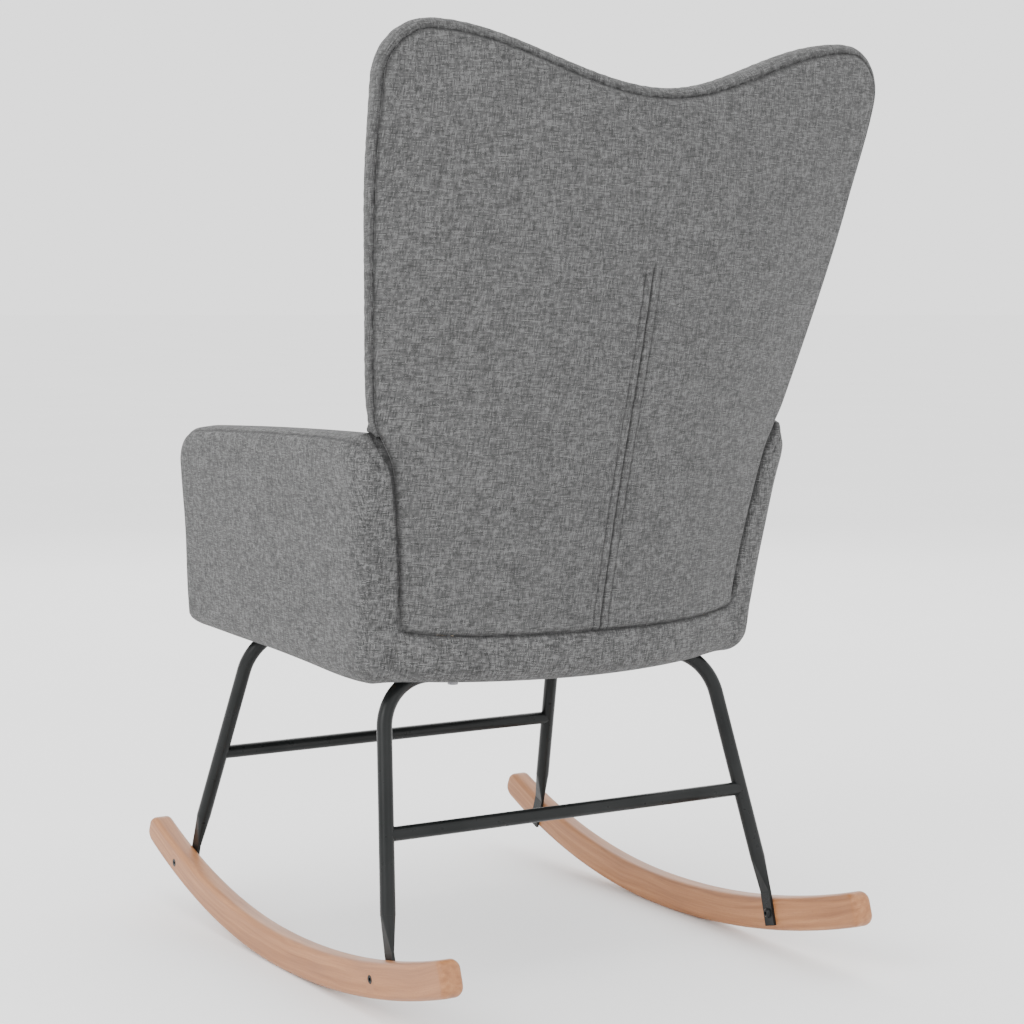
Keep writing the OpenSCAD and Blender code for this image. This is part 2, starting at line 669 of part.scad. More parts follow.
rocker_left();
rocker_right();
rocker_bolts();
rocker_sleeve_nuts();
rear_leg_tube();
rear_crossbar();
front_leg_tube();
front_crossbar();
leg_bolts();
leg_bolt_washers();
seat_t_nuts();
seat_left_rail();
seat_right_rail();
seat_front_rail();
seat_rear_rail();
front_mounting_board();
rear_mounting_board();
seat_corner_blocks();
seat_webbing_long();
seat_webbing_cross();
dust_cover();
back_left_post();
back_right_post();
back_bottom_rail();
back_middle_rail();
back_top_rail();
back_webbing();
left_arm_panel();
right_arm_panel();
left_arm_upholstery();
right_arm_upholstery();
seat_cushion();
front_apron();
back_cushion();
left_wing_pad();
right_wing_pad();
outer_back_panel();
back_edge_band();
rear_apron();
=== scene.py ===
"""Wing-back rocking chair: soft pieces, rockers, seams and materials, in millimetres until meshed."""
import json
import math

import bmesh
import bpy
import numpy as np
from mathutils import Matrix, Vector
from mathutils.bvhtree import BVHTree


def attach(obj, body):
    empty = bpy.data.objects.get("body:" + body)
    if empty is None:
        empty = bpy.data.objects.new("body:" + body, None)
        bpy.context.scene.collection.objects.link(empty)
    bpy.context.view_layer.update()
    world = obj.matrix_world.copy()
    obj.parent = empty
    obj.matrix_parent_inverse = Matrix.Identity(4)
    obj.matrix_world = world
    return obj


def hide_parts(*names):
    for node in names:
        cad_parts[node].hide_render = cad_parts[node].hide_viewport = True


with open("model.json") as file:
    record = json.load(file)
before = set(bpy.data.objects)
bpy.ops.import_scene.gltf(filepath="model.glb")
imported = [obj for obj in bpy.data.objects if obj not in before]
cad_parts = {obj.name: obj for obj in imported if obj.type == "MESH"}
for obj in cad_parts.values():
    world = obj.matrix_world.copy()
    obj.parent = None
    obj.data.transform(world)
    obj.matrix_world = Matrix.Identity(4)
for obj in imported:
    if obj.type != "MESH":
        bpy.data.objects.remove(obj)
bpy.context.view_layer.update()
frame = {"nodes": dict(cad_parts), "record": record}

MM = 0.001

# ---- Camera, floor and light ------------------------------------------------


def aim(obj, place, target):
    obj.location = place
    obj.rotation_euler = (Vector(target) - Vector(place)).to_track_quat("-Z", "Y").to_euler()
    bpy.context.scene.collection.objects.link(obj)
    return obj


CHAIR_MIDDLE = (0.0, 0.0, 0.5)
camera = bpy.data.cameras.new("camera")
camera.lens, camera.sensor_width, camera.clip_end = 85.08, 36.0, 60.0
bpy.context.scene.camera = aim(bpy.data.objects.new("camera", camera),
                               (1.3634, 2.2965, 0.7297), (0.0, 0.0501, 0.4836))


def soft_box(name, place, size, power):
    light = bpy.data.lights.new(name, "AREA")
    light.shape, light.size, light.size_y = "RECTANGLE", size[0], size[1]
    light.energy = power
    aim(bpy.data.objects.new(name, light), place, CHAIR_MIDDLE)


soft_box("key", (3.2, 0.9, 2.3), (2.0, 2.2), 63)
soft_box("fill", (-0.6, 3.6, 1.7), (2.6, 2.0), 12)
soft_box("front", (-1.8, -3.2, 2.2), (2.6, 2.2), 36)
soft_box("overhead", (0.0, 0.2, 3.4), (3.2, 3.2), 30)

world = bpy.data.worlds.new("studio")
bpy.context.scene.world = world
world.use_nodes = True
world.node_tree.nodes["Background"].inputs["Color"].default_value = (1.0, 1.0, 1.0, 1.0)
world.node_tree.nodes["Background"].inputs["Strength"].default_value = 1.9

# ---- Shader helpers -----------------------------------------------------------


class Shader:
    """A material with a Principled surface, and short calls for the nodes that feed it."""

    def __init__(self, name, **constants):
        self.material = bpy.data.materials.new(name)
        self.material.use_nodes = True
        self.tree = self.material.node_tree
        self.surface = self.tree.nodes["Principled BSDF"]
        for socket, value in constants.items():
            self.surface.inputs[socket.replace("_", " ")].default_value = value

    def node(self, kind, inputs=(), **settings):
        made = self.tree.nodes.new("ShaderNode" + kind)
        for key, value in settings.items():
            setattr(made, key, value)
        for key, value in dict(inputs).items():
            if isinstance(value, bpy.types.NodeSocket):
                self.tree.links.new(value, made.inputs[key])
            else:
                made.inputs[key].default_value = value
        return made

    def math(self, operation, a, b=0.0):
        return self.node("Math", {0: a, 1: b}, operation=operation).outputs[0]

    def noise(self, vector, scale=1.0, detail=2.0, roughness=0.5):
        return self.node("TexNoise", {"Vector": vector, "Scale": scale, "Detail": detail,
                                      "Roughness": roughness}).outputs[0]

    def vector(self, x, y=0.0, z=0.0):
        return self.node("CombineXYZ", {0: x, 1: y, 2: z}).outputs[0]

    def parts(self, vector):
        return self.node("SeparateXYZ", {0: vector}).outputs

    def scaled(self, vector, factors):
        return self.node("VectorMath", {0: vector, 1: factors}, operation="MULTIPLY").outputs[0]

    def ramp(self, value, stops):
        made = self.node("ValToRGB", {0: value})
        elements = made.color_ramp.elements
        while len(elements) < len(stops):
            elements.new(0.5)
        for element, (place, colour) in zip(elements, stops):
            element.position, element.color = place, (*colour, 1.0)
        return made.outputs[0]

    def grade(self, value, low, high, to_low, to_high):
        return self.node("MapRange", {0: value, 1: low, 2: high, 3: to_low, 4: to_high}).outputs[0]

    def mix(self, factor, a, b):
        made = self.node("Mix", data_type="RGBA")
        for key, value in ((0, factor), (6, a), (7, b)):
            if isinstance(value, bpy.types.NodeSocket):
                self.tree.links.new(value, made.inputs[key])
            else:
                made.inputs[key].default_value = value if key == 0 else (*value, 1.0)
        return made.outputs[2]

    def feed(self, socket, value):
        self.tree.links.new(value, self.surface.inputs[socket])

    def bump(self, height, distance, strength=1.0):
        self.feed("Normal", self.node("Bump", {"Height": height, "Distance": distance,
                                               "Strength": strength}).outputs[0])


def grey(value):
    return (value, value, value)


def melange(name, dark, middle, light, yarn=1.15, slub=0.15):
    """Plain weave of mixed dark and light yarns, laid out by the weave map in metres.

    The yarn is its pitch in millimetres, and the slub is how fast its tone changes along it.
    """
    s = Shader(name, Roughness=0.92, Sheen_Weight=0.06, Sheen_Roughness=0.45, Specular_IOR_Level=0.25)
    place = s.node("UVMap", uv_map="weave").outputs[0]
    u, v, _ = s.parts(s.scaled(place, (1 / (yarn * MM), 1 / (yarn * MM), 1.0)))
    wander = s.noise(s.scaled(place, (60.0, 60.0, 60.0)), 1.0, 1.0)
    u = s.math("ADD", u, s.math("MULTIPLY", wander, 0.9))
    v = s.math("ADD", v, s.math("MULTIPLY", wander, -0.9))
    column, row = s.math("FLOOR", u), s.math("FLOOR", v)
    warp_at = s.vector(s.math("MULTIPLY", column, 7.31), s.math("MULTIPLY", v, slub), 1.7)
    weft_at = s.vector(s.math("MULTIPLY", u, slub), s.math("MULTIPLY", row, 9.17), 8.3)
    warp, weft = s.noise(warp_at, 1.0, 2.0, 0.6), s.noise(weft_at, 1.0, 2.0, 0.6)
    over = s.math("MODULO", s.math("ADD", s.math("ADD", column, row), 20000.0), 2.0)
    mean = s.math("MULTIPLY", s.math("ADD", warp, weft), 0.5)
    lead = s.math("MULTIPLY", s.math("SUBTRACT", warp, weft), s.math("SUBTRACT", over, 0.5))
    yarns = s.math("ADD", mean, s.math("MULTIPLY", lead, 0.55))
    patches = s.noise(s.scaled(place, (34.0, 34.0, 34.0)), 1.0, 3.0, 0.6)
    lean = s.math("ADD", yarns, s.math("MULTIPLY", s.math("SUBTRACT", patches, 0.5), 0.07))
    colour = s.ramp(lean, [(0.37, dark), (0.50, middle), (0.63, light)])
    # Painted shade, with some dirt: the per-point value read here darkens the cloth along seams, rims and
    # tucks, towards 0.16 of the middle tone.
    seam_shade_and_dirt = s.node("Attribute", attribute_name="seam_shade_and_dirt").outputs["Fac"]
    shade = s.grade(seam_shade_and_dirt, 0.0, 1.0, 0.0, 0.72)
    s.feed("Base Color", s.mix(shade, colour, tuple(c * 0.16 for c in middle)))
    ridge_u = s.math("ABSOLUTE", s.math("SINE", s.math("MULTIPLY", u, math.pi)))
    ridge_v = s.math("ABSOLUTE", s.math("SINE", s.math("MULTIPLY", v, math.pi)))
    height = s.math("ADD", s.math("MULTIPLY", ridge_u, ridge_v), s.math("MULTIPLY", yarns, 1.3))
    s.bump(height, 0.28 * MM, 0.75)
    return s.material


def beech(name):
    """Clear-lacquered beech: fine grain along the bar, small flecks, slow colour drift."""
    s = Shader(name, Roughness=0.46, Specular_IOR_Level=0.4, Coat_Weight=0.12, Coat_Roughness=0.35)
    place = s.node("Attribute", attribute_name="grain").outputs["Vector"]
    bend = s.noise(s.scaled(place, (5.0, 16.0, 16.0)), 1.0, 2.0)
    along, up, across = s.parts(place)
    up = s.math("ADD", up, s.math("MULTIPLY", bend, 0.022))
    warped = s.vector(along, up, across)
    rings = s.noise(s.scaled(warped, (6.0, 240.0, 150.0)), 1.0, 3.0, 0.6)
    fine = s.noise(s.scaled(warped, (26.0, 1500.0, 1500.0)), 1.0, 3.0, 0.7)
    drift = s.noise(s.scaled(place, (7.0, 22.0, 22.0)), 1.0, 3.0, 0.55)
    flecks = s.grade(s.noise(s.scaled(warped, (260.0, 2100.0, 2100.0)), 1.0, 1.0), 0.62, 0.72, 0.0, 1.0)
    tone = s.math("ADD", s.math("MULTIPLY", rings, 0.65), s.math("MULTIPLY", drift, 0.35))
    base = s.ramp(tone, [(0.34, (0.240, 0.094, 0.033)), (0.50, (0.345, 0.147, 0.055)),
                         (0.66, (0.435, 0.203, 0.084))])
    base = s.mix(s.grade(fine, 0.35, 0.65, 0.0, 0.34), base, (0.215, 0.084, 0.034))
    base = s.mix(s.math("MULTIPLY", flecks, 0.40), base, (0.140, 0.050, 0.020))
    s.feed("Base Color", base)
    s.feed("Roughness", s.grade(drift, 0.3, 0.7, 0.40, 0.54))
    s.bump(s.math("ADD", fine, s.math("MULTIPLY", rings, 0.6)), 0.10 * MM, 0.5)
    return s.material


def coated_steel(name):
    """Satin black powder coat with its fine orange-peel texture."""
    s = Shader(name, Roughness=0.32, Specular_IOR_Level=0.2)
    place = s.node("TexCoord").outputs["Object"]
    drift = s.noise(place, 18.0, 3.0)
    s.feed("Base Color", s.ramp(drift, [(0.35, (0.006, 0.007, 0.007)), (0.65, (0.011, 0.012, 0.012))]))
    s.feed("Roughness", s.grade(s.noise(place, 90.0, 2.0), 0.3, 0.7, 0.26, 0.38))
    s.bump(s.noise(place, 1400.0, 2.0), 0.04 * MM, 0.5)
    return s.material


def zinc_plate(name):
    s = Shader(name, Roughness=0.34, Metallic=1.0)
    place = s.node("TexCoord").outputs["Object"]
    spots = s.noise(place, 260.0, 3.0)
    s.feed("Base Color", s.ramp(spots, [(0.3, (0.13, 0.13, 0.14)), (0.7, (0.24, 0.24, 0.25))]))
    s.feed("Roughness", s.grade(spots, 0.3, 0.7, 0.26, 0.45))
    s.bump(s.noise(place, 900.0), 0.03 * MM, 0.4)
    return s.material


def raw_pine(name):
    s = Shader(name, Roughness=0.78)
    place = s.node("TexCoord").outputs["Object"]
    rings = s.noise(s.scaled(place, (14.0, 150.0, 150.0)), 1.0, 3.0)
    s.feed("Base Color", s.ramp(rings, [(0.35, (0.46, 0.30, 0.16)), (0.65, (0.68, 0.50, 0.31))]))
    s.bump(s.noise(s.scaled(place, (60.0, 900.0, 900.0)), 1.0, 2.0), 0.2 * MM, 0.6)
    return s.material


def strap(name, dark, light, pitch):
    """Coarse plain weave seen only from below or behind, by position."""
    s = Shader(name, Roughness=0.9)
    x, y, z = s.parts(s.scaled(s.node("TexCoord").outputs["Object"], (1 / pitch,) * 3))
    a = s.math("SINE", s.math("MULTIPLY", x, math.pi))
    b = s.math("SINE", s.math("MULTIPLY", s.math("ADD", y, z), math.pi))
    cell = s.math("MULTIPLY", a, b)
    s.feed("Base Color", s.ramp(s.grade(cell, -1.0, 1.0, 0.0, 1.0), [(0.2, dark), (0.8, light)]))
    s.bump(cell, 0.5 * MM, 0.7)
    return s.material


def felt(name):
    s = Shader(name, Roughness=0.96)
    place = s.node("TexCoord").outputs["Object"]
    fibres = s.noise(place, 900.0, 4.0, 0.7)
    s.feed("Base Color", s.ramp(fibres, [(0.3, grey(0.010)), (0.7, grey(0.030))]))
    s.bump(s.math("ADD", fibres, s.noise(place, 160.0)), 0.3 * MM, 0.7)
    return s.material


shell_cloth = melange("cloth_shell", grey(0.034), grey(0.074), grey(0.150))
back_cloth = melange("cloth_back", grey(0.039), grey(0.075), grey(0.138))
thread = melange("cloth_thread", grey(0.045), grey(0.085), grey(0.14), 0.4)
wood = beech("beech")
steel = coated_steel("black_steel")
for slot_name, made in {"black_steel": steel, "zinc": zinc_plate("zinc"), "rocker_wood": wood,
                        "inner_wood": raw_pine("pine"), "fabric_grey": shell_cloth,
                        "webbing": strap("jute", (0.20, 0.14, 0.08), (0.46, 0.36, 0.23), 2.4 * MM),
                        "dust_cloth": felt("dust_cloth")}.items():
    for part in frame["record"]["subparts"]:
        if part["material_slot"] == slot_name:
            node = frame["nodes"][part["node"]]
            node.data.materials.clear()
            node.data.materials.append(made)

# ---- The back's shape -----------------------------------------------------------

HEM_Z, TOP_DIP_Z, WING_RISE, WING_HALF_W, CORNER_R = 376.0, 911.0, 56.0, 291.0, 45.0
WING_TOP_Z = TOP_DIP_Z + WING_RISE
LOW_HALF_W = 208.0
FOAM_FOOT_Z, FOAM_D0 = 386.0, 26.4
WING_EDGE_T, CENTRE_T, BAND_OUT, BAND_SIDE_OUT = 32.0, 68.0, 11.0, 9.5
SEAT_Z, TILT, ARM_FOOT_X, LEAN, ARM_T = 342.4, math.radians(2.42), 243.0, math.radians(5.8), 46.0
WING_SEAM_S, PANEL_T, BAND_D0 = 0.60, 3.5, 3.3
SEAM_TOP_Z, STITCH_OUT, STITCH_LONG = 748.0, 9.0, 3.1


def smooth(a, b, v):
    u = np.clip((v - a) / (b - a), 0.0, 1.0)
    return u * u * (3 - 2 * u)


def bell(distance, width):
    return np.exp(-(distance / width) ** 2)


def curl(z):
    return 12.6e-4 - 2.1e-6 * np.maximum(0, z - 585) - 1.0e-4 * smooth(820, 950, z)


def back_y(x, z):
    u = (z - HEM_Z) / 536
    return 225.4 + 92.9 * u + 149.4 * u ** 2 - 125.6 * u ** 3 - curl(z) * x * x


def low_half_w(z):
    return 207 + 16 * (np.maximum(0, z - 384) / 134) ** 1.5


def panel_w(z):
    wing = WING_HALF_W - 41 * (np.maximum(0, 919 - z) / 334) ** 1.6
    above = np.clip(z - WING_TOP_Z + CORNER_R, 0, CORNER_R)
    v = smooth(540, 590, z)
    return low_half_w(z) * (1 - v) + wing * v - (CORNER_R - np.sqrt(CORNER_R ** 2 - above ** 2))


def foam_w(z):
    between = ARM_FOOT_X - ARM_T / math.cos(LEAN) - 2 + (z - SEAT_Z + 8) * math.tan(LEAN)
    v = smooth(570, 587, z)
    return np.minimum(panel_w(z), between) * (1 - v) + panel_w(z) * v


def top_z(x):
    return TOP_DIP_Z + WING_RISE * (1 - np.cos(math.pi * np.minimum(np.abs(x), 300) / 252)) / 2


def on_back(x, z, d):
    """The point d forward of the outer face; across the wings the depth is square to the face."""
    m = 2 * curl(z) * x * smooth(560, 620, z)
    n = np.sqrt(1 + m * m)
    return np.stack([x - d * m / n, back_y(x, z) - d / n, z + 0 * x], -1)


def steps(*stops):
    """Positions from each (start, step) on to the next one."""
    out = [stops[0][0]]
    for (a, step), (b, _) in zip(stops, stops[1:]):
        n = max(1, round((b - a) / step))
        out += list(a + (b - a) * np.arange(1, n + 1) / n)
    return np.array(out)


def along(points):
    """Distance run along the second-last axis's points."""
    run = np.linalg.norm(np.diff(points, axis=0), axis=-1)
    return np.concatenate([[np.zeros_like(run[0])], np.cumsum(run, axis=0)])


# ---- Mesh helpers ------------------------------------------------------------------


def patch(points, uv=None, seam_shade_and_dirt=None):
    rows, cols = points.shape[:2]
    if uv is None:
        uv = np.stack([along(points.transpose(1, 0, 2)).T, along(points)], -1)
    if seam_shade_and_dirt is None:
        seam_shade_and_dirt = np.zeros((rows, cols))
    return points, uv, np.broadcast_to(seam_shade_and_dirt, (rows, cols))


def quads(rows, cols, base=0):
    i = np.arange(rows * cols).reshape(rows, cols) + base
    return np.stack([i[:-1, :-1], i[:-1, 1:], i[1:, 1:], i[1:, :-1]], -1).reshape(-1, 4)


def finish_piece(obj, material, replaced=(), sharp=None):
    obj.data.materials.clear()
    obj.data.materials.append(material)
    obj.data.shade_smooth()
    if sharp:
        obj.data.set_sharp_from_angle(angle=math.radians(sharp))
    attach(obj, "root")
    if replaced:
        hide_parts(*replaced)
    return obj


def linked(name, mesh):
    obj = bpy.data.objects.new(name, mesh)
    bpy.context.scene.collection.objects.link(obj)
    return obj


def mesh_of(name, bm):
    """An object from a finished bmesh, with its normals outward."""
    bmesh.ops.recalc_face_normals(bm, faces=bm.faces)
    mesh = bpy.data.meshes.new(name)
    bm.to_mesh(mesh)
    bm.free()
    return linked(name, mesh)


def from_patches(name, patches, weld=0.03):
    """One closed mesh from grids of points that share their borders."""
    points = np.concatenate([p.reshape(-1, 3) for p, _, _ in patches])
    uv = np.concatenate([u.reshape(-1, 2) for _, u, _ in patches])
    seam_shade_and_dirt = np.concatenate([c.reshape(-1) for _, _, c in patches])
    faces, base = [], 0
    for p, _, _ in patches:
        faces.append(quads(*p.shape[:2], base))
        base += p.shape[0] * p.shape[1]
    mesh = bpy.data.meshes.new(name)
    mesh.from_pydata((points * MM).tolist(), [], np.concatenate(faces).tolist())
    loops = np.empty(len(mesh.loops), np.int32)
    mesh.loops.foreach_get("vertex_index", loops)
    mesh.uv_layers.new(name="weave").data.foreach_set("uv", (uv[loops] * MM).ravel())
    # The per-point value stored here is painted shade with some dirt, which darkens the cloth along seams
    # and rims.
    mesh.attributes.new("seam_shade_and_dirt", "FLOAT", "POINT").data.foreach_set("value", seam_shade_and_dirt.astype(np.float32))
    bm = bmesh.new()
    bm.from_mesh(mesh)
    bmesh.ops.remove_doubles(bm, verts=bm.verts, dist=weld * MM)
    bmesh.ops.dissolve_degenerate(bm, edges=bm.edges, dist=0.005 * MM)
    bmesh.ops.recalc_face_normals(bm, faces=bm.faces)
    bm.to_mesh(mesh)
    bm.free()
    return linked(name, mesh)


def closed_pad(name, front, rear, seam_shade_and_dirt=None):
    """A pad between a front and a rear grid of the same size."""
    rims = [np.stack([front[0], rear[0]]), np.stack([front[-1], rear[-1]]),
            np.stack([front[:, 0], rear[:, 0]]), np.stack([front[:, -1], rear[:, -1]])]
    return from_patches(name, [patch(front, seam_shade_and_dirt=seam_shade_and_dirt), patch(rear)] + [patch(r) for r in rims])


def positions(mesh):
    flat = np.empty(len(mesh.vertices) * 3, np.float32)
    mesh.vertices.foreach_get("co", flat)
    return flat.reshape(-1, 3).astype(float) / MM


def set_positions(mesh, points):
    mesh.vertices.foreach_set("co", (points * MM).astype(np.float32).ravel())
    mesh.update()


def weave_by_facing(mesh):
    """Weave map for a mesh without one: each face takes the two axes that it faces least."""
    count = len(mesh.polygons)
    normal = np.empty(count * 3, np.float32)
    mesh.polygons.foreach_get("normal", normal)
    axis = np.abs(normal.reshape(-1, 3) * (1.0, 1.0, 0.9)).argmax(1)
    sizes = np.empty(count, np.int32)
    mesh.polygons.foreach_get("loop_total", sizes)
    loops = np.empty(len(mesh.loops), np.int32)
    mesh.loops.foreach_get("vertex_index", loops)
    place = positions(mesh)[loops] * MM
    facing = np.repeat(axis, sizes)
    uv = np.where((facing == 0)[:, None], place[:, [1, 2]],
                  np.where((facing == 1)[:, None], place[:, [0, 2]], place[:, [0, 1]]))
    layer = mesh.uv_layers.get("weave") or mesh.uv_layers.new(name="weave")
    layer.data.foreach_set("uv", uv.astype(np.float32).ravel())


# Stores the painted shade and dirt value for every point; the cloth darkens where it is high.
def set_seam_shade_and_dirt(mesh, values):
    layer = mesh.attributes.get("seam_shade_and_dirt") or mesh.attributes.new("seam_shade_and_dirt", "FLOAT", "POINT")
    layer.data.foreach_set("value", np.asarray(values, np.float32))


def applied(obj):
    """The object's mesh with its modifiers, which are then gone."""
    depsgraph = bpy.context.evaluated_depsgraph_get()
    mesh = bpy.data.meshes.new_from_object(obj.evaluated_get(depsgraph))
    obj.modifiers.clear()
    old, obj.data = obj.data, mesh
    bpy.data.meshes.remove(old)
    return obj


def remeshed(obj, voxel):
    modifier = obj.modifiers.new("voxels", "REMESH")
    modifier.mode, modifier.voxel_size = "VOXEL", voxel * MM
    return applied(obj)


def tube(path, radius, sides=10, closed=True):
    """A round cord along a path of points, with its weave map along it."""
    path = np.asarray(path, float)
    ahead = np.roll(path, -1, 0) - np.roll(path, 1, 0)
    if not closed:
        ahead[0], ahead[-1] = path[1] - path[0], path[-1] - path[-2]
    ahead /= np.linalg.norm(ahead, axis=1)[:, None]
    up = np.tile((0.0, 0.0, 1.0), (len(path), 1))
    up[np.abs(ahead[:, 2]) > 0.8] = (1.0, 0.0, 0.0)
    side = np.cross(ahead, up)
    side /= np.linalg.norm(side, axis=1)[:, None]
    up = np.cross(side, ahead)
    turn = np.linspace(0, 2 * math.pi, sides + 1)
    rings = path[:, None] + radius * (np.cos(turn)[None, :, None] * side[:, None]
                                      + np.sin(turn)[None, :, None] * up[:, None])
    if closed:
        rings = np.concatenate([rings, rings[:1]])
    return patch(rings)


# ---- Outer back panel -----------------------------------------------------------------


def hem_z(x):
    return HEM_Z - 1 + 8 * (np.abs(x) / LOW_HALF_W) ** 5


def panel_x(half_w):
    """Columns across one half: a fixed pitch by the seams, an even one between."""
    by_seam = steps((0, 0.45), (2.7, 0.9), (7.2, 0.45), (10.8, 1.5), (21, 0))
    by_edge = steps((0, 0.8), (4, 1.4), (11, 2.5), (21, 0))
    middle = np.linspace(21, half_w - 21, 30)[1:-1]
    return np.concatenate([by_seam, middle, half_w - by_edge[::-1]])


def distance_to(lines, x, z):
    """Distance in the x-z plane to a chain of points."""
    a, b = lines[:-1], lines[1:]
    keep = np.linalg.norm(b - a, axis=1) > 1e-6
    a, b = a[keep], b[keep]
    flat = np.stack([x.ravel(), z.ravel()], -1)
    best = np.full(len(flat), 1e9)
    for start in range(0, len(flat), 2000):
        p = flat[start:start + 2000, None]
        t = np.clip(((p - a) * (b - a)).sum(-1) / ((b - a) ** 2).sum(-1), 0, 1)
        best[start:start + 2000] = np.linalg.norm(p - a - t[..., None] * (b - a), axis=-1).min(1)
    return best.reshape(x.shape)


def ripple(a, b):
    """Slow unevenness of stretched cloth, about 1 mm."""
    return 0.55 * np.sin(a / 41 + 1.3) * np.sin(b / 33 + 0.4) + 0.35 * np.sin(a / 23 - b / 29 + 2.0)


def back_panel():
    """The large rear face: a dip along its outline and a sewn seam up its middle."""
    tall = WING_TOP_Z - hem_z(0)
    rows = np.concatenate([steps((0, 0.8), (2.4, 1.3), (9, 2.5), (19, 6), (tall - CORNER_R, 0))[:-1],
                           tall - CORNER_R * (1 - np.cos(np.linspace(math.pi / 2, 0, 22)))])
    levels = rows / rows[-1]
    widths = panel_w(HEM_Z + levels * (WING_TOP_Z - HEM_Z))
    x = np.array([np.concatenate([-panel_x(w)[:0:-1], panel_x(w)]) for w in widths])
    z = hem_z(x) + levels[:, None] * (top_z(x) - hem_z(x))
    foot, top, left, right = np.s_[0], np.s_[-1], np.s_[:, 0], np.s_[:, -1]
    outline = np.concatenate([np.stack([x[line], z[line]], -1)[::way] for line, way in
                              ((foot, 1), (right, 1), (top, -1), (left, -1))])
    edge = distance_to(outline, x, z)
    seam = smooth(SEAM_TOP_Z + 5, SEAM_TOP_Z - 5, z)
    puff = (1.4 * smooth(0, 90, edge) - 2.7 * bell(edge, 2.6) + 0.9 * bell(edge - 7, 4.5)
            + ripple(x, z) * smooth(0, 60, edge)
            + seam * (-1.7 * bell(x, 1.3) + 0.9 * bell(np.abs(x) - 4.6, 3.0)
                      - 1.0 * bell(np.abs(x) - STITCH_OUT, 1.0)))
    # Painted shade and dirt along the panel's outline, its centre seam and the stitch rows beside it.
    stitched = 0.95 * bell(x, 0.9) + 0.55 * bell(np.abs(x) - STITCH_OUT, 0.9)
    seam_shade_and_dirt = np.clip(bell(edge, 2.4) + seam * stitched, 0, 1)
    rear, front = on_back(x, z, -puff), on_back(x, z, PANEL_T + 0 * x)
    rims = [patch(np.stack([rear[line], front[line]])) for line in (foot, top, left, right)]
    made = from_patches("back_panel", [patch(rear, np.stack([x, z], -1), seam_shade_and_dirt), patch(front)] + rims)
    finish_piece(made, back_cloth, ["outer_back_panel"])


def back_topstitching():
    """Two rows of short stitches beside the centre seam."""
    stitches = []
    for side in (-STITCH_OUT, STITCH_OUT):
        for z in np.arange(HEM_Z + 4, SEAM_TOP_Z - 2, 4.3):
            run = np.linspace(0, STITCH_LONG, 6)
            lift = 0.35 * np.sin(math.pi * run / STITCH_LONG) - 0.62
            stitches.append(tube(on_back(np.full(6, side), z + run, -lift), 0.38, 6, closed=False))
    finish_piece(from_patches("back_topstitching", stitches, 0.001), thread)


back_panel()
back_topstitching()

# ---- Padded band round the wings ---------------------------------------------------------


def band_route():
    """The panel's border from one arm over both wings to the other arm, and its outward way."""
    t = np.concatenate([np.linspace(0.33, 0.92, 70), np.linspace(0.922, 1, 46)])
    side_x = panel_w(HEM_Z + t * (WING_TOP_Z - HEM_Z))
    side_z = hem_z(side_x) + t * (top_z(side_x) - hem_z(side_x))
    crown_x = np.linspace(side_x[-1], -side_x[-1], 120)[1:-1]
    x = np.concatenate([side_x, crown_x, -side_x[::-1]])
    z = np.concatenate([side_z, top_z(crown_x), side_z[::-1]])
    way = np.stack([np.gradient(x), np.gradient(z)], -1)
    way /= np.linalg.norm(way, axis=1)[:, None]
    for _ in range(6):
        way[1:-1] = (way[:-2] + 2 * way[1:-1] + way[2:]) / 4
    return x, z, way[:, 1], -way[:, 0]


def band_caps(ends):
    """Patches that close the band at its end rings: first their bulges, then the chords behind."""
    bulges = [(ring, ring.mean(0)) for ring in ends]
    chords = [(np.stack([ring[-1], ring[0]]), middle) for ring, middle in bulges]
    return [patch(np.stack([side, np.broadcast_to(middle, side.shape)])) for side, middle in bulges + chords]


def edge_band():
    """A plump welt along the border, tucked in where it ends behind the arms."""
    x, z, out_x, out_z = band_route()
    slope = 2 * curl(z) * x * smooth(560, 620, z)
    flat = np.sqrt(1 + slope ** 2)
    outward = np.stack([out_x / flat, -out_x * slope / flat, out_z], -1)
    forward = -np.stack([slope / flat, 1 / flat, 0 * flat], -1)
    angle = np.linspace(0, math.pi, 19)
    power = 2 / 2.7
    bulge = np.sin(angle) ** power
    across = 1 - np.sign(np.cos(angle)) * np.abs(np.cos(angle)) ** power
    depth = BAND_D0 + (WING_EDGE_T - BAND_D0) / 2 * across
    run = along(np.stack([x, back_y(x, z), z], -1))
    pucker = 0.28 * np.sin(run / 2.3) * np.sin(run / 17) + 0.35 * np.sin(run / 31)
    tuck = smooth(0, 42, run) * smooth(0, 42, run[-1] - run)
    reach = BAND_SIDE_OUT + (BAND_OUT - BAND_SIDE_OUT) * smooth(0.15, 0.75, out_z)
    out_by = (reach * (0.35 + 0.65 * tuck))[:, None] * bulge + pucker[:, None] * np.sin(angle)
    rings = on_back(x, z, 0 * x)[:, None] + outward[:, None] * out_by[..., None] \
        + forward[:, None] * depth[None, :, None]
    size = rings.shape[:2]
    around = along(rings[100][:, None])[:, 0]
    uv = np.stack([np.broadcast_to(run[:, None], size), np.broadcast_to(around, size)], -1)
    # Painted shade and dirt along both edges of the welt, where it tucks against the panel and the pad.
    front = patch(rings, uv, np.broadcast_to(bell(bulge, 0.32), size))
    back = patch(np.stack([rings[:, -1], rings[:, 0]], 1))
    made = from_patches("back_edge_welt", [front, back] + band_caps((rings[0], rings[-1])))
    finish_piece(made, back_cloth, ["back_edge_band"])


edge_band()

# ---- Front of the back: a crowned centre and two wings, sewn as one pad ----------------------


def front_d(s, t):
    c = np.cos(math.pi / 2 * np.minimum(1, np.abs(s))) ** 0.9
    return WING_EDGE_T + (CENTRE_T - WING_EDGE_T) * c * (1 - 0.55 * t ** 6) - 3 * t


